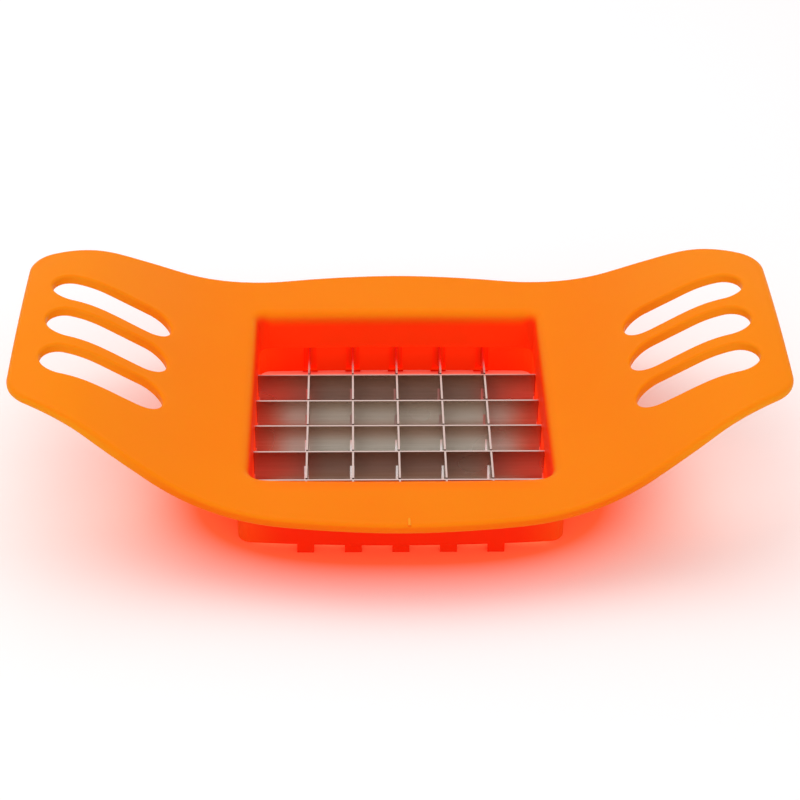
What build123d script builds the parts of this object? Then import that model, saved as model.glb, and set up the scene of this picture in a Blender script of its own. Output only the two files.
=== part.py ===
from build123d import *
from math import cos, radians, sin, sqrt
import os

# A hand-pressed chip cutter. A winged plate is pushed down over a peeled potato, and a grid of
# crossed steel blades in its square well cuts the potato into sticks.
# Millimetres. +X runs from wing to wing, +Y to the back, +Z up. The feet stand on Z = 0.

os.makedirs("parts", exist_ok=True)

# ---- Driving dimensions ----

# Blade grid: evenly spaced crosswise blades, and lengthwise blades spread towards the outer rows
cell_pitch = 12.0
blade_count = 5
inner_row_offset = 11.6
outer_row_offset = 23.9
blade_thickness = 0.5
blade_height = 9.2
edge_height = 1.4
edge_land = 0.08
lap_slot_width = 1.1
lap_slot_shift = 0.25
lap_clearance = 0.15
tab_base_height = 3.1
tab_shoulder_gap = 0.3

# Heights above the worktop
blade_base_height = 0.9
skirt_bottom_height = 2.45
well_depth = 10.9

# Square well and the lower frame around it, whose ends are its front and its back
well_half_length = 37.9
well_half_depth = 36.9
well_bow = 0.6
well_corner_radius = 3.0
flange_wall = 1.5
frame_side_wall = 3.3
frame_end_wall = 3.0
frame_bow = 1.8
frame_corner_radius = 3.6
frame_gap = 0.1

# Places where the blade ends are held
relief_width = 3.6
relief_depth = 1.4
relief_floor_height = 3.0
pocket_depth = 2.3
pocket_clearance = 0.05
end_clearance = 0.15

# Feet: flat ribs on the frame's outside, one beside each blade end
foot_width = 4.3
foot_depth = 1.0
foot_side_reach = 41.0
foot_end_reach = 41.2
foot_edge_radius = 0.35

# Snap beads that hold the frame to the flange
bead_length = 24.0
bead_radius = 0.45
bead_above_blades = 3.8

# Winged plate
plate_thickness = 2.8
outline_half_length = 120.7
outline_half_depth = 57.9
outline_power = 1.8
wing_end = 97.5
wing_corner_radius = 10.0
flat_half_length = 30.0
rise_radius = 56.0
rise_angle = 32.0
rise_straight = 18.0
crest_radius = 35.5
edge_lift = 0.4
crown_start = 36.0
crown_at_tip = 1.2
crown_power = 1.5
station_spacing = 5.0
outline_spacing = 14.0

# Finger slots in the wings
slot_centre = 75.4
slot_length = 30.0
middle_slot_width = 12.4
outer_slot_width = 11.8
slot_spacing = 16.6

# Ridge left by the mould's gate across the front rim
gate_mark_offset = 1.6
gate_mark_radius = 0.4
gate_mark_length = 2.6
gate_mark_setback = 1.7
gate_mark_proud = 0.25

# Rounded edges
rim_radius = 1.3
well_edge_radius = 3.0
slot_edge_radius = 0.7
skirt_edge_radius = 0.5

# Slack for picking edges and for cutting cleanly past a face
overshoot = 2.0
snap = 0.1

# ---- Worked out from the driving dimensions ----

blade_top = blade_base_height + blade_height
plate_top = blade_top + well_depth
plate_bottom = plate_top - plate_thickness
flange_half_length = well_half_length + flange_wall
flange_half_depth = well_half_depth + flange_wall
flange_corner_radius = well_corner_radius + flange_wall
frame_half_length = well_half_length + frame_side_wall
frame_half_depth = well_half_depth + frame_end_wall
flange_height = well_depth - frame_gap - plate_thickness / 2
frame_top = plate_bottom - frame_gap
pocket_width = blade_thickness + 2 * pocket_clearance
pocket_half_length = well_half_length + pocket_depth
pocket_half_depth = well_half_depth + pocket_depth
bead_height = blade_top + bead_above_blades
bead_reach_depth = flange_half_depth + well_bow
groove_radius = bead_radius + frame_gap
groove_length = bead_length + 2 * frame_gap
crosswise_offsets = [(i - (blade_count - 1) / 2) * cell_pitch for i in range(blade_count)]
lengthwise_offsets = [-outer_row_offset, -inner_row_offset, 0, inner_row_offset, outer_row_offset]

# The wing's side view is a rising arc, a straight slope and a crest arc, each tangent to the next.
rise_sin = sin(radians(rise_angle))
rise_cos = cos(radians(rise_angle))
slope_start = flat_half_length + rise_radius * rise_sin
slope_start_rise = rise_radius * (1 - rise_cos)
crest_start = slope_start + rise_straight * rise_cos
crest_start_rise = slope_start_rise + rise_straight * rise_sin
crest_centre = crest_start + crest_radius * rise_sin
crest_rise = crest_start_rise + crest_radius * (1 - rise_cos)
through = plate_top + crest_rise + overshoot


def evenly_spaced(end, spacing):
    """Places from -end to end, about one spacing apart, with one in the middle."""
    steps = round(end / spacing)
    return [i * end / steps for i in range(-steps, steps + 1)]


def wing_rise(x):
    """Height of the plate's top above its flat middle, and the slope there."""
    reach = abs(x)
    if reach <= flat_half_length:
        return 0.0, 0.0
    if reach <= slope_start:
        run = reach - flat_half_length
        drop = sqrt(rise_radius**2 - run**2)
        return rise_radius - drop, run / drop
    if reach <= crest_start:
        slope = rise_sin / rise_cos
        return slope_start_rise + (reach - slope_start) * slope, slope
    run = crest_centre - reach
    drop = sqrt(crest_radius**2 - run**2)
    return crest_rise - crest_radius + drop, run / drop


def crown_curvature(x):
    """How fast a section across the plate falls away from its middle: drop = curvature * y * y."""
    share = max(0.0, (abs(x) - crown_start) / (wing_end - crown_start))
    dish = -edge_lift / outline_half_depth**2
    crown = crown_at_tip / outline_at(wing_end) ** 2
    return dish + (crown - dish) * share**crown_power


def outline_at(x):
    """Half depth of the plate's outline, a superellipse, at a distance x from the middle."""
    share = (abs(x) / outline_half_length) ** outline_power
    return outline_half_depth * (1 - share) ** (1 / outline_power)


def sheet_line(height, drop):
    """One line across a plate section, a flat parabola from the back edge to the front."""
    back = (section_half_depth, height - drop)
    front = (-section_half_depth, height - drop)
    return Bezier(back, (0, height + drop), front)


section_half_depth = outline_half_depth + overshoot
sheet_end = wing_end + overshoot
stations = evenly_spaced(sheet_end, station_spacing)
outline_stations = evenly_spaced(wing_end, outline_spacing)


def bowed_rectangle(half_length, half_depth, bow, corner_radius):
    """A flat face with straight ends and slightly bowed front and back, its corners rounded."""
    with BuildSketch() as outline:
        with BuildLine():
            back = ThreePointArc(
                (-half_length, half_depth), (0, half_depth + bow), (half_length, half_depth)
            )
            front = ThreePointArc(
                (-half_length, -half_depth), (0, -half_depth - bow), (half_length, -half_depth)
            )
            Line(back @ 0, front @ 0)
            Line(back @ 1, front @ 1)
        make_face()
        fillet(outline.vertices(), radius=corner_radius)
    return outline.sketch


def in_finger_slot(edge):
    """True for the edges around a finger slot's two mouths."""
    box = edge.bounding_box()
    middle = edge.center(CenterOf.BOUNDING_BOX)
    inside_x = abs(abs(middle.X) - slot_centre) < slot_length / 2 + snap
    inside_y = abs(middle.Y) < slot_spacing + outer_slot_width / 2 + snap
    upright = box.size.X < snap and box.size.Y < snap
    return inside_x and inside_y and not upright


def around_well_top(edge):
    """True for the edges where the well's wall meets the plate's top."""
    middle = edge.center(CenterOf.BOUNDING_BOX)
    inside_x = abs(middle.X) < well_half_length + snap
    inside_y = abs(middle.Y) < well_half_depth + well_bow + snap
    return inside_x and inside_y and edge.bounding_box().min.Z > plate_top - snap


well_outline = bowed_rectangle(well_half_length, well_half_depth, well_bow, well_corner_radius)
flange_outline = bowed_rectangle(
    flange_half_length, flange_half_depth, well_bow, flange_corner_radius
)
rebate_outline = bowed_rectangle(
    flange_half_length + frame_gap, flange_half_depth + frame_gap, well_bow, flange_corner_radius
)
frame_outline = bowed_rectangle(
    frame_half_length, frame_half_depth, frame_bow, frame_corner_radius
)

# ---- Winged body: plate, wings, finger slots and the flange around the well ----

with BuildPart() as winged_body:
    for station in stations:
        rise, slope = wing_rise(station)
        upright_thickness = plate_thickness * sqrt(1 + slope**2)
        fall = crown_curvature(station) * section_half_depth**2
        with BuildSketch(Plane.YZ.offset(station)):
            with BuildLine():
                top_line = sheet_line(plate_top + rise, fall)
                bottom_line = sheet_line(plate_top + rise - upright_thickness, fall)
                Line(top_line @ 0, bottom_line @ 0)
                Line(top_line @ 1, bottom_line @ 1)
            make_face()
    loft()

    # The plan outline trims the sheet.
    with BuildSketch():
        with BuildLine():
            back_edge = Spline([(x, outline_at(x)) for x in outline_stations])
            front_edge = Spline([(x, -outline_at(x)) for x in outline_stations])
            Line(back_edge @ 0, front_edge @ 0)
            Line(back_edge @ 1, front_edge @ 1)
        make_face()
        fillet(vertices(), radius=wing_corner_radius)
    extrude(amount=through, mode=Mode.INTERSECT)
    sheet_top = winged_body.faces().sort_by(SortBy.AREA)[-2:].sort_by(Axis.Z)[-1]
    fillet(sheet_top.outer_wire().edges(), radius=rim_radius)
    sheet_bottom = winged_body.faces().sort_by(SortBy.AREA)[-2:].sort_by(Axis.Z)[0]
    fillet(sheet_bottom.outer_wire().edges(), radius=rim_radius)

    # Finger slots, cut straight down through each wing.
    with BuildSketch():
        with GridLocations(2 * slot_centre, 0, 2, 1):
            SlotOverall(slot_length, middle_slot_width)
        with GridLocations(2 * slot_centre, 2 * slot_spacing, 2, 2):
            SlotOverall(slot_length, outer_slot_width)
    extrude(amount=through, mode=Mode.SUBTRACT)
    fillet(winged_body.edges().filter_by(in_finger_slot), radius=slot_edge_radius)

    # The flange hangs from the plate around the well.
    with BuildSketch(Plane.XY.offset(blade_top + frame_gap)):
        add(flange_outline)
    extrude(amount=flange_height)
    with BuildSketch():
        add(well_outline)
    extrude(amount=through, mode=Mode.SUBTRACT)
    fillet(winged_body.edges().filter_by(around_well_top), radius=well_edge_radius)

    # The gate's mark is a low ridge that runs over the top of the front rim.
    gate_mark_reach = outline_at(gate_mark_offset) - gate_mark_setback
    gate_mark_centre = plate_top + edge_lift + gate_mark_proud - gate_mark_radius
    with Locations((gate_mark_offset, -gate_mark_reach, gate_mark_centre)):
        Cylinder(gate_mark_radius, gate_mark_length, rotation=(90, 0, 0))

    # Four snap beads stand on the flange's outer faces.
    with Locations((0, -bead_reach_depth, bead_height), (0, bead_reach_depth, bead_height)):
        Cylinder(bead_radius, bead_length, rotation=(0, 90, 0))
    with Locations((-flange_half_length, 0, bead_height), (flange_half_length, 0, bead_height)):
        Cylinder(bead_radius, bead_length, rotation=(90, 0, 0))

winged_body.part.label = "winged_body"
export_step(winged_body.part, "parts/winged_body.step")

# ---- Lower frame: skirt, feet and the pockets that hold the blade ends ----

with BuildPart() as blade_frame:
    with BuildSketch(Plane.XY.offset(skirt_bottom_height)):
        add(frame_outline)
    extrude(amount=frame_top - skirt_bottom_height)
    fillet(blade_frame.faces().sort_by(Axis.Z)[0].edges(), radius=skirt_edge_radius)

    # The ribs run up the outside of the skirt, and end below it as feet.
    with BuildSketch():
        for offset in crosswise_offsets:
            with GridLocations(0, 2 * foot_end_reach - foot_depth, 1, 2):
                with Locations((offset, 0)):
                    Rectangle(foot_width, foot_depth)
        for offset in lengthwise_offsets:
            with GridLocations(2 * foot_side_reach - foot_depth, 0, 2, 1):
                with Locations((0, offset)):
                    Rectangle(foot_depth, foot_width)
    extrude(amount=frame_top)
    foot_bottoms = blade_frame.faces().filter_by(Plane.XY).group_by(Axis.Z)[0]
    fillet(foot_bottoms.edges(), radius=foot_edge_radius)

    # The well runs right through, and the flange's rebate stops level with the blade tops.
    with BuildSketch():
        add(well_outline)
    extrude(amount=through, mode=Mode.SUBTRACT)
    with BuildSketch(Plane.XY.offset(blade_top)):
        add(rebate_outline)
    extrude(amount=through, mode=Mode.SUBTRACT)

    # A wide relief opens each pocket to the well, and a slit behind it grips the blade end.
    with BuildSketch(Plane.XY.offset(relief_floor_height)):
        with Locations(*[(offset, 0) for offset in crosswise_offsets]):
            Rectangle(relief_width, 2 * (well_half_depth + relief_depth))
        with Locations(*[(0, offset) for offset in lengthwise_offsets]):
            Rectangle(2 * (well_half_length + relief_depth), relief_width)
    extrude(amount=blade_top - relief_floor_height, mode=Mode.SUBTRACT)
    with BuildSketch(Plane.XY.offset(tab_base_height - pocket_clearance)):
        with Locations(*[(offset, 0) for offset in crosswise_offsets]):
            Rectangle(pocket_width, 2 * pocket_half_depth)
        with Locations(*[(0, offset) for offset in lengthwise_offsets]):
            Rectangle(2 * pocket_half_length, pocket_width)
    extrude(amount=blade_top - tab_base_height + pocket_clearance, mode=Mode.SUBTRACT)

    # Grooves for the snap beads.
    with Locations((0, -bead_reach_depth, bead_height), (0, bead_reach_depth, bead_height)):
        Cylinder(groove_radius, groove_length, rotation=(0, 90, 0), mode=Mode.SUBTRACT)
    with Locations((-flange_half_length, 0, bead_height), (flange_half_length, 0, bead_height)):
        Cylinder(groove_radius, groove_length, rotation=(90, 0, 0), mode=Mode.SUBTRACT)

blade_frame.part.label = "blade_frame"
export_step(blade_frame.part, "parts/blade_frame.step")


# ---- Blades: thin strips, ground to an edge below and slotted half way to cross each other ----


def blade_section(offset):
    """Outline of a blade's section: flat top, straight sides and a ground lower edge."""
    half = blade_thickness / 2
    shoulder = blade_base_height + edge_height
    return [
        (offset - half, blade_top),
        (offset + half, blade_top),
        (offset + half, shoulder),
        (offset + edge_land / 2, blade_base_height),
        (offset - edge_land / 2, blade_base_height),
        (offset - half, shoulder),
    ]


def tab_cuts(well_half_size):
    """The two rectangles that cut a blade's lower corners away, and leave a tab at each end."""
    with BuildSketch() as cuts:
        with Locations((0, blade_base_height)):
            with GridLocations(2 * (well_half_size - tab_shoulder_gap + pocket_depth), 0, 2, 1):
                Rectangle(2 * pocket_depth, 2 * (tab_base_height - blade_base_height))
    return cuts.sketch


lengthwise_tab_cuts = tab_cuts(well_half_length)
crosswise_tab_cuts = tab_cuts(well_half_depth)

# Lengthwise blades run from wing to wing, and their lap slots open downwards.
for number, offset in enumerate(lengthwise_offsets, 1):
    with BuildPart() as lengthwise_blade:
        with BuildSketch(Plane.YZ):
            Polygon(*blade_section(offset), align=None)
        extrude(amount=pocket_half_length - end_clearance, both=True)
        with BuildSketch(Plane.XZ.offset(-offset)):
            add(lengthwise_tab_cuts)
            with Locations(*[(x - lap_slot_shift, blade_base_height) for x in crosswise_offsets]):
                Rectangle(lap_slot_width, blade_height + 2 * lap_clearance)
        extrude(amount=blade_thickness, both=True, mode=Mode.SUBTRACT)
    lengthwise_blade.part.label = f"lengthwise_blade_{number}"
    export_step(lengthwise_blade.part, f"parts/lengthwise_blade_{number}.step")

# Crosswise blades run from front to back, and their lap slots open upwards.
for number, offset in enumerate(crosswise_offsets, 1):
    with BuildPart() as crosswise_blade:
        with BuildSketch(Plane.XZ):
            Polygon(*blade_section(offset), align=None)
        extrude(amount=pocket_half_depth - end_clearance, both=True)
        with BuildSketch(Plane.YZ.offset(offset)):
            add(crosswise_tab_cuts)
            with Locations(*[(y + lap_slot_shift, blade_top) for y in lengthwise_offsets]):
                Rectangle(lap_slot_width, blade_height + 2 * lap_clearance)
        extrude(amount=blade_thickness, both=True, mode=Mode.SUBTRACT)
    crosswise_blade.part.label = f"crosswise_blade_{number}"
    export_step(crosswise_blade.part, f"parts/crosswise_blade_{number}.step")
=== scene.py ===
# %% [markdown]
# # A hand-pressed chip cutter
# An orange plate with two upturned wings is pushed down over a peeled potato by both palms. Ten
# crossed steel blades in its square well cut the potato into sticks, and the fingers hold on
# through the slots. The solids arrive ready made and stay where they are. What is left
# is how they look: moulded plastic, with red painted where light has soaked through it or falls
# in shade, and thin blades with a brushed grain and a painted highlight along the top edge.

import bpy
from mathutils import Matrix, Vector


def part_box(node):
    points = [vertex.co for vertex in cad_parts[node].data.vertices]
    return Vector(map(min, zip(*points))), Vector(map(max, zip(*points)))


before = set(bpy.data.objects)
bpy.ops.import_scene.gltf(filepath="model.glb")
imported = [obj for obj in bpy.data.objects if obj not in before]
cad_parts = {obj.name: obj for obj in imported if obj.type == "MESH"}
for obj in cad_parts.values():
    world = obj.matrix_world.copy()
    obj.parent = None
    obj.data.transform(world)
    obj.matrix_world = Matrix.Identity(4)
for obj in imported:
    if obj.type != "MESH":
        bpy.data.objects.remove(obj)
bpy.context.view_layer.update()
print("solids:", sorted(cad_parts))

# %% [markdown]
# ## Tools and one unit
# Blender works in metres. A kitchen tool is easier to think of in millimetres, so most sizes below
# are written as a number of millimetres times this one unit.

# %% Blender, maths and one unit
from math import cos, radians, sin

import bpy
from mathutils import Matrix, Vector

MM = 0.001
print("one millimetre is", MM, "m")

# %% [markdown]
# ## Where the parts are
# Finishes change from place to place: the plastic is orange on top, red light and shade are painted
# in the well, and a painted highlight runs along a blade's top edge. The blades', the frame's and
# the crests' heights come from the solids themselves. The plate's flat middle has no box of its
# own, so its height is written down, and so is the place of the mark that the mould left on its rim.

# %% Heights and sizes read from the solids
blade_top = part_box("lengthwise_blade_1")[1].z
frame_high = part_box("blade_frame")[1]
body_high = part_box("winged_body")[1]
plate_top = 21.0 * MM
rim_top = 21.4 * MM  # the plate is slightly dished
gate_place = 1.6 * MM  # how far right of the middle the mark lies
print(f"blade tops at {blade_top / MM:.1f} mm, wing crests at {body_high.z / MM:.1f} mm")

# %% [markdown]
# ## Camera
# The cutter is seen from the front and above, like a thing on a table in front of a seated
# person. A long lens from 0.6 m keeps the wings from looking stretched. The camera is built from
# three turns: how far it looks down, how far the cutter is turned under it, and a slight roll.

# %% Place the camera
look_down = radians(34.8)
table_turn = radians(1.4)
camera_roll = radians(0.62)
aim = Vector((0, 0, 10.3 * MM))
aim_seen_at = Vector((-0.44, 6.58, 609.54)) * MM  # to the right, down and away
lens = 103.625


def camera_axes(down, turn, roll):
    """Rows that point right, down and forward as the camera sees them."""
    tilt = Matrix(((1, 0, 0), (0, -sin(down), -cos(down)), (0, cos(down), -sin(down))))
    return Matrix.Rotation(roll, 3, "Z") @ tilt @ Matrix.Rotation(turn, 3, "Z")


axes = camera_axes(look_down, table_turn, camera_roll)
camera = bpy.data.objects.new("camera", bpy.data.cameras.new("camera"))
bpy.context.scene.collection.objects.link(camera)
camera.data.lens = lens
pose = Matrix((axes[0], -axes[1], -axes[2])).transposed().to_4x4()
pose.translation = aim - axes.transposed() @ aim_seen_at
camera.matrix_world = pose
bpy.context.scene.camera = camera
print("camera at", [round(c / MM, 1) for c in pose.translation], "mm")

# %% [markdown]
# ## Building node trees
# Every finish here is a small network of shader nodes. Short helpers keep the networks readable:
# they add a node, do arithmetic on whatever they are given, blend colours, or say where a point of
# the surface lies. One more starts a group with named sockets. A group is a finish effect that is
# built once and used by several materials.


# %% Helpers for nodes
def add_node(tree, kind, values=None, **options):
    """Adds one shader node. Values are its inputs by name or number: numbers, or sockets to link."""
    node = tree.nodes.new("ShaderNode" + kind)
    for name, option in options.items():
        setattr(node, name, option)
    for name, value in (values or {}).items():
        plug(tree, node.inputs[name], value)
    return node


def plug(tree, target, value):
    """Links a socket to the target, or sets the target to a plain value."""
    if isinstance(value, bpy.types.NodeSocket):
        tree.links.new(value, target)
    else:
        target.default_value = value


def maths(tree, operation, *values):
    """The result of a Math node as a socket."""
    return add_node(tree, "Math", dict(enumerate(values)), operation=operation).outputs[0]


def the_rest(tree, share):
    """What is left of 1 once the share is taken."""
    return maths(tree, "SUBTRACT", 1.0, share)


def smooth_step(tree, value, start, end):
    """0 at start and 1 at end, with a soft turn at both."""
    ramp = add_node(
        tree,
        "MapRange",
        {"Value": value, "From Min": start, "From Max": end},
        interpolation_type="SMOOTHSTEP",
    )
    return ramp.outputs["Result"]


def blend_colours(tree, share, first, second):
    """A colour that goes from first to second as the share goes from 0 to 1."""
    mix = add_node(tree, "Mix", data_type="RGBA", blend_type="MIX")
    plug(tree, mix.inputs["Factor"], share)
    for name, value in (("A", first), ("B", second)):
        target = next(s for s in mix.inputs if s.name == name and s.type == "RGBA")
        plug(tree, target, value)
    return next(s for s in mix.outputs if s.type == "RGBA")


def surface_place(tree):
    """Where a point of the surface lies: the whole place, and its X, Y and Z."""
    place = add_node(tree, "TexCoord").outputs["Object"]
    return place, add_node(tree, "SeparateXYZ", {"Vector": place}).outputs


def new_group(name, inputs, outputs):
    """A shader node group with named sockets, and its input and output nodes."""
    kinds = {"colour": "NodeSocketColor", "number": "NodeSocketFloat", "vector": "NodeSocketVector"}
    group = bpy.data.node_groups.new(name, "ShaderNodeTree")
    for label, kind, value in inputs:
        socket = group.interface.new_socket(label, in_out="INPUT", socket_type=kinds[kind])
        socket.default_value = value
    for label, kind in outputs:
        group.interface.new_socket(label, in_out="OUTPUT", socket_type=kinds[kind])
    return group, group.nodes.new("NodeGroupInput"), group.nodes.new("NodeGroupOutput")


def fill(tree, node, values):
    """Sets or links several inputs of a node by name."""
    for name, value in values.items():
        plug(tree, node.inputs[name], value)
    return node


def use_group(tree, group, values):
    """Places a group in a material, with that material's own values in its inputs."""
    return fill(tree, add_node(tree, "Group", node_tree=group), values)


def colour(red, green, blue):
    """A colour written as 0 to 255 on screen, as the linear light that shaders work in."""
    def linear(c):
        c = c / 255
        return c / 12.92 if c <= 0.04045 else ((c + 0.055) / 1.055) ** 2.4

    return (linear(red), linear(green), linear(blue), 1.0)


def new_material(name):
    """A material with one Principled shader, its tree and that shader."""
    material = bpy.data.materials.new(name)
    material.use_nodes = True
    return material, material.node_tree, material.node_tree.nodes["Principled BSDF"]


plain_orange = colour(254, 129, 6)
print("plain orange is", [round(c, 3) for c in plain_orange], "as linear light")


# %% [markdown]
# ## Effect: moulded skin
# Injection moulding leaves plastic nearly even, but never perfectly so. The pigment drifts a
# little across the sheet, the mould's ground surface prints a fine pebble on it, and handling
# polishes some places more than others. One group makes all three, so that the plate and the
# lower frame look like they came from the same workshop.

# %% Build the moulded skin group
skin, skin_in, skin_out = new_group(
    "moulded_skin",
    [
        ("Colour", "colour", (0.8, 0.8, 0.8, 1)),
        ("Thin Colour", "colour", (0.8, 0.8, 0.8, 1)),
        ("Drift", "number", 0.3),
        ("Shine", "number", 0.35),
        ("Shine Spread", "number", 0.08),
    ],
    [("Colour", "colour"), ("Roughness", "number"), ("Height", "number")],
)
noise_middle = 0.5
drift_start, drift_full = 0.3, 0.7

place, _ = surface_place(skin)
drift = add_node(skin, "TexNoise", {"Vector": place, "Scale": 28.0, "Detail": 2.0})
drifting = smooth_step(skin, drift.outputs["Fac"], drift_start, drift_full)
drift_share = maths(skin, "MULTIPLY", drifting, skin_in.outputs["Drift"])
drifted = blend_colours(skin, drift_share, skin_in.outputs["Colour"], skin_in.outputs["Thin Colour"])
handled = add_node(skin, "TexNoise", {"Vector": place, "Scale": 90.0, "Detail": 3.0})
swing = maths(
    skin,
    "MULTIPLY",
    maths(skin, "SUBTRACT", handled.outputs["Fac"], noise_middle),
    skin_in.outputs["Shine Spread"],
)
pebble = add_node(skin, "TexNoise", {"Vector": place, "Scale": 1800.0, "Detail": 2.0})
plug(skin, skin_out.inputs["Colour"], drifted)
plug(skin, skin_out.inputs["Roughness"], maths(skin, "ADD", skin_in.outputs["Shine"], swing))
plug(skin, skin_out.inputs["Height"], pebble.outputs["Fac"])
print("group", skin.name, "has", len(skin.nodes), "nodes")

# %% [markdown]
# ## Effect: soaked light
# The orange is a clear, strong dye. Light that comes straight back off the plate is orange, and
# light that has passed through a wall, or bounced from wall to wall in the well, has lost its
# green and comes out red. That red is painted into the colour, and a box mask says where: how
# deep a place lies, 0 on the open plate, 1 down in the well and on the walls below. Its soft top
# edge falls on the well's rounded rim. The same box also marks where light and shade are painted
# on the floor, so its middle can be moved forward.

# %% Build the soaked light group
soaked, soaked_in, soaked_out = new_group(
    "soaked_light",
    [
        ("Half Length", "number", 0.04),
        ("Half Depth", "number", 0.04),
        ("Top", "number", 0.02),
        ("Fade", "number", 0.002),
        ("Side Fade", "number", 0.001),
        ("Forward", "number", 0.0),
    ],
    [("Mask", "number")],
)
_, spot = surface_place(soaked)
moved = maths(soaked, "ADD", spot["Y"], soaked_in.outputs["Forward"])
inside = []
for along_axis, limit in ((spot["X"], "Half Length"), (moved, "Half Depth")):
    away = maths(soaked, "ABSOLUTE", along_axis)
    spare = maths(soaked, "SUBTRACT", soaked_in.outputs[limit], away)
    share = maths(soaked, "DIVIDE", spare, soaked_in.outputs["Side Fade"])
    inside.append(smooth_step(soaked, share, 0.0, 1.0))
below = maths(soaked, "SUBTRACT", soaked_in.outputs["Top"], spot["Z"])
depth = smooth_step(soaked, maths(soaked, "DIVIDE", below, soaked_in.outputs["Fade"]), 0.0, 1.0)
mask = maths(soaked, "MULTIPLY", maths(soaked, "MULTIPLY", *inside), depth)
plug(soaked, soaked_out.inputs["Mask"], mask)
print("group", soaked.name, "has", len(soaked.nodes), "nodes")

# %% [markdown]
# ## Finish: moulded plastic
# Both mouldings are satin: their highlights are wide and weak, and light enters the plastic a
# little way before it comes out again. Subsurface scattering does that, reaching further for red
# than for green, so thin rims stay warm. Plain diffuse paint would look chalky beside it.

# %% Start a moulded plastic
pebble_strength, pebble_depth = 0.12, 0.02 * MM
plastic_specular = 0.04
scatter_share, scatter_reach = 0.25, 2.5 * MM
scatter_by_colour = (1.0, 0.25, 0.08)


def moulded_plastic(name, values):
    """Satin plastic with the moulded skin, its tree, its shader and the skin's outputs."""
    material, tree, shader = new_material(name)
    surface = use_group(tree, skin, values).outputs
    bump_values = {
        "Height": surface["Height"],
        "Strength": pebble_strength,
        "Distance": pebble_depth,
    }
    fill(
        tree,
        shader,
        {
            "Roughness": surface["Roughness"],
            "Normal": add_node(tree, "Bump", bump_values).outputs["Normal"],
            "Specular IOR Level": plastic_specular,
            "Subsurface Weight": scatter_share,
            "Subsurface Radius": scatter_by_colour,
            "Subsurface Scale": scatter_reach,
        },
    )
    print("made", material.name)
    return material, tree, shader, surface


# %% [markdown]
# ## Finish: body plastic
# The open sheet is the plain orange, and the other oranges here are painted light and shade.
# Towards the wings' crests light comes through from both sides, so the sheet is painted a little
# yellower there. Its rounded rims point away from the sky: near the feet they are painted deeper,
# for shade and for the red light that comes up from below, and out on the wings, around the finger
# slots too, they are painted pale. The way a face points says where this painted rim shade goes.

# %% Paint light and shade on the sheet and its rims
body_finish, body_tree, body_shader, body_skin = moulded_plastic(
    "satin_orange",
    {
        "Colour": plain_orange,
        "Thin Colour": colour(255, 136, 9),
        "Drift": 0.5,
        "Shine": 0.4,
        "Shine Spread": 0.12,
    },
)
# painted light: the crests are coloured yellower where light comes through them
painted_crest_light = colour(255, 138, 12)
# painted shade on rims that point down near the feet, painted light on rims out on the wings
painted_rim_shade = colour(254, 112, 6)
painted_wing_rim_light = colour(254, 148, 20)
level, tipped = 0.8, 0.3  # how far a face points up
wing_start, wing_reached = 48 * MM, 78 * MM

_, body_spot = surface_place(body_tree)
body_facing = add_node(body_tree, "TexCoord").outputs["Normal"]
points_up = add_node(body_tree, "SeparateXYZ", {"Vector": body_facing}).outputs["Z"]
# how far a face points down says where the painted rim shade and light go
rim_shade_share = smooth_step(body_tree, points_up, level, tipped)
crest_light_share = smooth_step(body_tree, body_spot["Z"], plate_top, body_high.z)
to_side = maths(body_tree, "ABSOLUTE", body_spot["X"])
on_wing = smooth_step(body_tree, to_side, wing_start, wing_reached)
sheet = blend_colours(body_tree, crest_light_share, body_skin["Colour"], painted_crest_light)
rim = blend_colours(body_tree, on_wing, painted_rim_shade, painted_wing_rim_light)
edged = blend_colours(body_tree, rim_shade_share, sheet, rim)
print("the sheet turns yellower from", round(plate_top / MM, 1), "mm up")

# %% [markdown]
# ## Finish: the gate mark's painted highlight
# Plastic enters the mould through a small gate. Where it was cut off, a low ridge stays across the
# front rim. The ridge is in the solid already. Its top catches the light, and that highlight is
# painted: whatever stands higher than the rim there takes a lighter orange.

# %% Paint a highlight on the gate mark
# painted highlight: a lighter orange where the ridge stands above the rim
painted_gate_highlight = colour(255, 154, 34)
mark_core, mark_edge = 0.6 * MM, 1.2 * MM
mark_rise = 0.12 * MM

from_gate = maths(body_tree, "ABSOLUTE", maths(body_tree, "SUBTRACT", body_spot["X"], gate_place))
gate_highlight_share = maths(
    body_tree,
    "MULTIPLY",
    smooth_step(body_tree, from_gate, mark_edge, mark_core),
    smooth_step(body_tree, body_spot["Z"], rim_top, rim_top + mark_rise),
)
edged = blend_colours(body_tree, gate_highlight_share, edged, painted_gate_highlight)
print("the gate mark is pale above", round(rim_top / MM, 1), "mm")

# %% [markdown]
# ## Finish: the painted red well
# Down in the well the soaked light mask takes over, and the red of shade and of light through the
# walls is painted into the colour. The back wall turns red slowly over its rounded rim. At the
# sides and the front the red starts higher and sets in faster. A low red emission paints a glow for
# the light the sheet carries inside and lets out here, weaker on the two side walls.

# %% Paint the well red and give it a painted glow
# painted shade and light: the well's red colour and its red glow
painted_well_red = colour(252, 62, 17)
painted_glow_red = (1, 0.02, 0, 1)
dark = (0, 0, 0, 1)
painted_well_glow, side_dimming = 0.34, 0.16
wall_start, wall_reached = 34 * MM, 38 * MM
beyond_frame = 2.3 * MM
back_drop, back_fade = 0.6 * MM, 3.6 * MM
early_rise, early_cut = 1.35 * MM, 1.2 * MM
well_side_fade = 3 * MM

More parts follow.
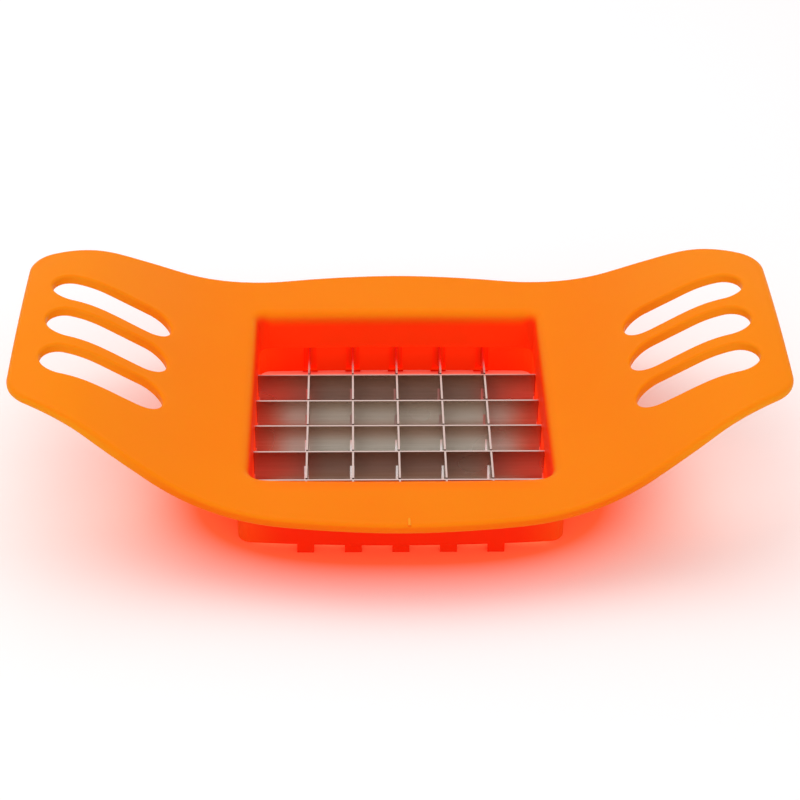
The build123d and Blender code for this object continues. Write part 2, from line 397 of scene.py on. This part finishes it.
at_side = smooth_step(body_tree, to_side, wall_start, wall_reached)
at_front = smooth_step(body_tree, body_spot["Y"], -wall_start, -wall_reached)
early = maths(body_tree, "MAXIMUM", at_side, at_front)
painted_well_share = use_group(
    body_tree,
    soaked,
    {
        "Half Length": frame_high.x + beyond_frame,
        "Half Depth": frame_high.y + beyond_frame,
        "Top": maths(body_tree, "MULTIPLY_ADD", early, early_rise, plate_top - back_drop),
        "Fade": maths(body_tree, "MULTIPLY_ADD", early, -early_cut, back_fade),
        "Side Fade": well_side_fade,
    },
).outputs["Mask"]
fill(
    body_tree,
    body_shader,
    {
        "Base Color": blend_colours(body_tree, painted_well_share, edged, painted_well_red),
        "Emission Color": blend_colours(body_tree, painted_well_share, dark, painted_glow_red),
        "Emission Strength": maths(body_tree, "MULTIPLY_ADD", at_side, -side_dimming, painted_well_glow),
    },
)
print(body_finish.name, "has", len(body_tree.nodes), "nodes")

# %% [markdown]
# ## Finish: frame plastic
# The lower frame is the same moulding compound, but it stands in the plate's shade, and that shade
# is painted: all of it is coloured the soaked red, with a little less drift, and painted more orange
# at its two ends, where light comes round the corners. Inside, four walls light each other, so its
# painted glow is stronger there than outside.

# %% Make the frame plastic
# painted shade: the frame is coloured red for the shade it stands in
frame_finish, frame_tree, frame_shader, frame_skin = moulded_plastic(
    "frame_painted_shade",
    {
        "Colour": colour(249, 50, 15),
        "Thin Colour": colour(250, 60, 18),
        "Drift": 0.3,
        "Shine": 0.38,
        "Shine Spread": 0.1,
    },
)
# painted light at the two ends, and a painted glow outside and inside
painted_end_light = colour(252, 88, 22)
painted_outer_glow = (0.15, 0, 0, 1)
painted_inner_glow = (0.5, 0.008, 0, 1)
end_start, end_reached = 28 * MM, 44 * MM
side_wall_inset, end_wall_inset = 1.2 * MM, 2.7 * MM  # how far inside the frame the glow starts
glow_fade = 1 * MM

painted_glow_share = use_group(
    frame_tree,
    soaked,
    {
        "Half Length": frame_high.x - side_wall_inset,
        "Half Depth": frame_high.y - end_wall_inset,
        "Top": frame_high.z,
        "Fade": glow_fade,
        "Side Fade": side_wall_inset,
    },
).outputs["Mask"]
_, frame_spot = surface_place(frame_tree)
from_middle = maths(frame_tree, "ABSOLUTE", frame_spot["X"])
end_light_share = smooth_step(frame_tree, from_middle, end_start, end_reached)
fill(
    frame_tree,
    frame_shader,
    {
        "Base Color": blend_colours(frame_tree, end_light_share, frame_skin["Colour"], painted_end_light),
        "Emission Color": blend_colours(frame_tree, painted_glow_share, painted_outer_glow, painted_inner_glow),
        "Emission Strength": 1.0,
    },
)
print(frame_finish.name, "has", len(frame_tree.nodes), "nodes")

# %% [markdown]
# ## Effect: brushed grain
# The strips are slit from rolled stainless coil. Rolling draws fine parallel lines along the
# strip, so the grain runs along X on one set of blades and along Y on the other. Noise that is
# stretched along one axis gives those lines, and the group takes the stretch as an input so that
# both sets can use it. Handled steel carries a thin, uneven film, here slow noise that pales it a
# little. The steel also gets darker and browner towards its top, where it mirrors less of the lit
# card, and a colour that follows the height stands for that.

# %% Build the brushed grain group
grain, grain_in, grain_out = new_group(
    "brushed_grain",
    [
        ("Colour", "colour", (0.6, 0.6, 0.6, 1)),
        ("Dark Colour", "colour", (0.4, 0.4, 0.4, 1)),
        ("Stretch", "vector", (1.0, 1.0, 1.0)),
        ("Shade Colour", "colour", (0.3, 0.25, 0.2, 1)),
        ("Film Colour", "colour", (0.7, 0.7, 0.7, 1)),
        ("Shine", "number", 0.3),
        ("Top", "number", 0.01),
        ("Edge", "number", 0.0002),
        ("Shade Depth", "number", 0.008),
    ],
    [("Colour", "colour"), ("Roughness", "number"), ("Height", "number"), ("Edge", "number")],
)
film_share, film_dulling = 0.3, 0.1
streak_start, streak_full = 0.35, 0.65
line_scale, band_scale, film_scale = 9000.0, 1500.0, 70.0

grain_place, grain_spot = surface_place(grain)
pulled = add_node(
    grain, "VectorMath", {0: grain_place, 1: grain_in.outputs["Stretch"]}, operation="MULTIPLY"
).outputs[0]


def steel_noise(where, scale, detail):
    """Noise on the steel, as a number around one half."""
    return add_node(
        grain, "TexNoise", {"Vector": where, "Scale": scale, "Detail": detail}
    ).outputs["Fac"]


lines = steel_noise(pulled, line_scale, 3.0)
bands = steel_noise(pulled, band_scale, 2.0)
film = steel_noise(grain_place, film_scale, 0.0)
streak = maths(grain, "ADD", lines, bands)
streak_mean = maths(grain, "MULTIPLY", streak, 0.5)
streak_share = smooth_step(grain, streak_mean, streak_start, streak_full)
toned = blend_colours(
    grain, streak_share, grain_in.outputs["Dark Colour"], grain_in.outputs["Colour"]
)
filmed = maths(grain, "MULTIPLY", film, film_share)
toned = blend_colours(grain, filmed, toned, grain_in.outputs["Film Colour"])
from_top = maths(grain, "SUBTRACT", grain_in.outputs["Top"], grain_spot["Z"])
lit_share = smooth_step(
    grain, maths(grain, "DIVIDE", from_top, grain_in.outputs["Shade Depth"]), 0.0, 1.0
)
toned = blend_colours(grain, lit_share, grain_in.outputs["Shade Colour"], toned)
edge_start = maths(grain, "SUBTRACT", grain_in.outputs["Top"], grain_in.outputs["Edge"])
edge_mask = smooth_step(grain, grain_spot["Z"], edge_start, grain_in.outputs["Top"])
rough = maths(grain, "MULTIPLY_ADD", film, film_dulling, grain_in.outputs["Shine"])
plug(grain, grain_out.inputs["Colour"], toned)
plug(grain, grain_out.inputs["Roughness"], rough)
plug(grain, grain_out.inputs["Height"], streak)
plug(grain, grain_out.inputs["Edge"], edge_mask)
print("group", grain.name, "has", len(grain.nodes), "nodes")

# %% [markdown]
# ## Finish: blade steel
# Both sets of blades are the same steel. The only difference is which way the grain runs. The top
# edge carries a painted highlight: it is paler and smoother than the faces, and less of a mirror,
# so that its pale colour shows. Behind the last lengthwise blade the crosswise blades stand close to
# the back wall. A painted reflection of its red lies on their edges, and a little of it on their
# faces.

# %% Make the two blade finishes
steel = colour(218, 211, 200)
dark_steel = colour(202, 193, 180)
shaded_steel = colour(172, 148, 130)
filmed_steel = colour(232, 224, 214)
# painted highlight: the pale colour of the blades' top edge
painted_edge_highlight = colour(216, 192, 184)
# painted reflection: the red of the back wall on blades close to it
painted_wall_reflection = colour(245, 50, 30)
along = 0.02  # how much the grain is squeezed along its own axis
steel_shine = 0.2
highlight_height, shade_height = 0.12 * MM, 7.5 * MM  # both counted down from the top edge
grain_depth = 0.01 * MM
grain_strength = 0.1
edge_polish = 0.08
# less metal at the top edge, so that the painted highlight's pale colour shows
highlight_metal_drop = 0.45
wall_near, wall_close = 26 * MM, 32 * MM
face_reflection_share = 0.3


def blade_steel(name, stretch):
    """Brushed steel with its grain along one axis and a painted highlight on its top edge."""
    material, tree, shader = new_material(name)
    surface = use_group(
        tree,
        grain,
        {
            "Colour": steel,
            "Dark Colour": dark_steel,
            "Shade Colour": shaded_steel,
            "Film Colour": filmed_steel,
            "Stretch": stretch,
            "Shine": steel_shine,
            "Top": blade_top,
            "Edge": highlight_height,
            "Shade Depth": shade_height,
        },
    ).outputs
    edge = surface["Edge"]
    _, steel_spot = surface_place(tree)
    # painted reflection of the back wall's red, fading in towards the wall
    by_wall = smooth_step(tree, steel_spot["Y"], wall_near, wall_close)
    reflection_share = maths(tree, "MULTIPLY_ADD", edge, 1.0 - face_reflection_share, face_reflection_share)
    shown = blend_colours(tree, edge, surface["Colour"], painted_edge_highlight)
    shown = blend_colours(tree, maths(tree, "MULTIPLY", by_wall, reflection_share), shown, painted_wall_reflection)
    bump_values = {
        "Height": maths(tree, "MULTIPLY", surface["Height"], the_rest(tree, edge)),
        "Strength": grain_strength,
        "Distance": grain_depth,
    }
    fill(
        tree,
        shader,
        {
            "Base Color": shown,
            "Metallic": maths(tree, "MULTIPLY_ADD", edge, -highlight_metal_drop, 1.0),
            "Roughness": maths(tree, "MULTIPLY_ADD", edge, -edge_polish, surface["Roughness"]),
            "Normal": add_node(tree, "Bump", bump_values).outputs["Normal"],
        },
    )
    return material


lengthwise_steel = blade_steel("lengthwise_steel", (along, 1.0, 1.0))
crosswise_steel = blade_steel("crosswise_steel", (1.0, along, 1.0))
print("made", lengthwise_steel.name, "and", crosswise_steel.name)

# %% [markdown]
# ## Dress the solids
# The shapes are finished already, so nothing is copied or meshed again: each solid keeps its own
# mesh and only swaps the material in its slot. A blade's name says which way it runs, and that
# picks the direction of its grain.

# %% Give each solid its finish
for name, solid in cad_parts.items():
    finish = body_finish if name == "winged_body" else frame_finish
    if name.startswith("lengthwise_blade"):
        finish = lengthwise_steel
    if name.startswith("crosswise_blade"):
        finish = crosswise_steel
    solid.material_slots[0].material = finish
    print(name, "wears", finish.name)

# %% [markdown]
# ## Floor: white card
# The cutter stands on card that reaches far beyond the view, so one flat square is enough. It is
# part of the stage, not of the cutter.

# %% Lay the card
floor_size = 6.0
half = floor_size / 2
floor_mesh = bpy.data.meshes.new("floor")
floor_mesh.from_pydata(
    [(-half, -half, 0), (half, -half, 0), (half, half, 0), (-half, half, 0)], [], [(0, 1, 2, 3)]
)
floor = bpy.data.objects.new("floor", floor_mesh)
bpy.context.scene.collection.objects.link(floor)
floor_card, card, card_shader = new_material("floor_card")
floor_mesh.materials.append(floor_card)
print("floor is", floor_size, "m square")

# %% [markdown]
# ## Floor: where tinted light lands
# Light that has come through the orange plastic tints the card, and that tint is painted light:
# full at the feet, then fading within a hand's width. The painted tint falls off as a rounded
# oblong, a formula of how far away a place is in X and in Y. A halo closes it around the back of
# the skirt, and a faint wash reaches further to both sides, below the wings.

# %% Map the tint
# painted light: the tint where light through the plastic lands on the card
glow_centre = (0.2 * MM, -12 * MM)
glow_half_length = 16.6 * MM
glow_half_depth = 10.5 * MM
glow_squareness = 2.67
glow_falloff = 1.05
glow_strength = 28.6
wash_strength = 0.05


def card_area(half_length, half_depth, side_fade, forward=0.0):
    """A soft-edged oblong on the card, with its sizes in millimetres."""
    sizes = {
        "Half Length": half_length * MM,
        "Half Depth": half_depth * MM,
        "Side Fade": side_fade * MM,
        "Forward": forward * MM,
        "Top": 1 * MM,
        "Fade": 1 * MM,
    }
    return use_group(card, soaked, sizes).outputs["Mask"]


card_place, card_spot = surface_place(card)
reach = []
for axis, centre, half_size in zip("XY", glow_centre, (glow_half_length, glow_half_depth)):
    away = maths(card, "ABSOLUTE", maths(card, "SUBTRACT", card_spot[axis], centre))
    reach.append(maths(card, "POWER", maths(card, "DIVIDE", away, half_size), glow_squareness))
distance = maths(card, "POWER", maths(card, "ADD", *reach), glow_falloff / glow_squareness)
fading = maths(card, "EXPONENT", maths(card, "MULTIPLY", distance, -1.0))
around_skirt = card_area(half_length=56, half_depth=56, side_fade=22)
below_wings = card_area(half_length=150, half_depth=75, side_fade=75, forward=30)
tint = maths(card, "MAXIMUM", maths(card, "MULTIPLY", fading, glow_strength), around_skirt)
tint = maths(card, "MULTIPLY_ADD", below_wings, wash_strength, tint)
tint = maths(card, "MINIMUM", tint, 1.0)
print("the tint is centred", glow_centre[1] / MM, "mm from the middle")

# %% [markdown]
# ## Floor: painted shade below the cutter
# Daylight comes straight down through the cells and leaves a white patch below the grid, where no
# shade or tint is painted. Around that patch the card is in the cutter's shade, and that shade is
# painted: brown at the front and the back, red at both ends, and bright red in a thin strip by the
# back wall. The blades mirror all of it, so it decides how dark each row of cells looks.

# %% Paint shade and tint on the card
white_card = (0.97, 0.97, 0.97, 1)
# painted light: the orange the card is coloured where the tint lands
painted_glow_orange = (0.97, 0.34, 0.13, 1)
# painted shade under the cutter: brown, red at the ends, red by the back wall
painted_shade_brown = (0.43, 0.27, 0.24, 1)
painted_shade_red = (0.95, 0.17, 0.12, 1)
painted_wall_shade = (0.8, 0.03, 0.01, 1)
ends_start, ends_reached = 18 * MM, 34 * MM
skirt_start, skirt_reached = 38.6 * MM, 41 * MM
patch_length, patch_depth = 39, 17.2  # half of each, in mm

# the patch where painted shade and tint are left out, and the ring of painted shade around it
painted_light_patch = card_area(patch_length, patch_depth, side_fade=12, forward=1.8)
shaded = card_area(half_length=41, half_depth=38.5, side_fade=4, forward=-3)
from_centre = maths(card, "ABSOLUTE", card_spot["X"])
beside = smooth_step(card, from_centre, ends_start, ends_reached)
by_wall = smooth_step(card, card_spot["Y"], skirt_start, skirt_reached)
painted_shade_ring = maths(card, "MULTIPLY", shaded, the_rest(card, painted_light_patch))
tint = maths(card, "MULTIPLY", tint, the_rest(card, painted_light_patch))
painted_shade_below = blend_colours(card, beside, painted_shade_brown, painted_shade_red)
painted_shade_below = blend_colours(card, by_wall, painted_shade_below, painted_wall_shade)
tinted = blend_colours(card, tint, white_card, painted_glow_orange)
fill(
    card,
    card_shader,
    {
        "Base Color": blend_colours(card, painted_shade_ring, tinted, painted_shade_below),
        "Roughness": 0.9,
        "Specular IOR Level": 0.0,
    },
)
print("the white patch below the grid is", 2 * patch_length, "mm long")

# %% [markdown]
# ## Floor: paper white, and painted red light
# Lamps that light the cutter at a plain level leave the card slightly grey. More light would wash
# out the plastic, so the card shows the camera a little light of its own instead: enough to read
# as paper white while the shadows stay. Far away, where the lamps don't reach, it shows more.
# Where the card is tinted it shows red light of its own, painted light for what comes through the
# plastic. Close to the back wall the shaded ring also shows a painted glow for the red that the
# wall throws on it. Light Path keeps all of this off the cutter, because only camera rays see it.

# %% Lift the card
# the card's own light leans a little red: painted red light in its shadows
paper_lift = (0.14, 0.08, 0.083, 1)
far_lift = (0.4, 0.4, 0.4, 1)
# painted light: red where the tint lies, pink and red by the back wall
painted_red_light = (0.29, 0.0, 0.0, 1)
painted_strip_pink = (0.95, 0.17, 0.1, 1)
painted_strip_red = (0.8, 0.02, 0.0, 1)
far_start, far_reached = 0.35, 1.5
strip_start, strip_reached = 34 * MM, 37 * MM

far_out = add_node(card, "VectorMath", {0: card_place}, operation="LENGTH").outputs["Value"]
far_off = smooth_step(card, far_out, far_start, far_reached)
in_strip = smooth_step(card, card_spot["Y"], strip_start, strip_reached)
lift = blend_colours(card, far_off, paper_lift, far_lift)
lift = blend_colours(card, tint, lift, painted_red_light)
strip = blend_colours(card, in_strip, dark, blend_colours(card, by_wall, painted_strip_pink, painted_strip_red))
fill(
    card,
    card_shader,
    {
        "Emission Color": blend_colours(card, painted_shade_ring, lift, strip),
        "Emission Strength": add_node(card, "LightPath").outputs["Is Camera Ray"],
    },
)
print(floor_card.name, "has", len(card.nodes), "nodes")

# %% [markdown]
# ## Light
# A light tent: a big soft panel above and a little behind, a weaker one in front, and an even
# white sky. The sky is dimmer as a lamp than it is to look at, so the background stays white.


# %% Hang the panels and set the sky
def soft_panel(name, size, power, place, aim):
    """A square area lamp that faces a point."""
    lamp = bpy.data.objects.new(name, bpy.data.lights.new(name, "AREA"))
    lamp.data.size = size
    lamp.data.energy = power
    lamp.location = place
    lamp.rotation_mode = "QUATERNION"
    lamp.rotation_quaternion = (Vector(aim) - Vector(place)).to_track_quat("-Z", "Y")
    bpy.context.scene.collection.objects.link(lamp)
    return lamp


middle = (0, 0, 0.02)
soft_panel("top_panel", size=0.7, power=2.3, place=(-0.2, 0.25, 0.8), aim=middle)
soft_panel("front_panel", size=0.9, power=2.1, place=(0.1, -0.85, 0.6), aim=middle)

sky = bpy.data.worlds.new("sky")
sky.use_nodes = True
bpy.context.scene.world = sky
sky_tree = sky.node_tree
background = sky_tree.nodes["Background"]
rays = add_node(sky_tree, "LightPath")
direct = maths(sky_tree, "MAXIMUM", rays.outputs["Is Camera Ray"], rays.outputs["Is Glossy Ray"])
direct = maths(sky_tree, "MAXIMUM", direct, rays.outputs["Is Transmission Ray"])
sky_light = 0.65
fill(
    sky_tree,
    background,
    {
        "Color": (1.0, 1.0, 1.0, 1),
        "Strength": maths(
            sky_tree, "ADD", sky_light, maths(sky_tree, "MULTIPLY", direct, 1.0 - sky_light)
        ),
    },
)
bpy.context.scene.view_settings.view_transform = "Standard"
print("sky level", sky_light)
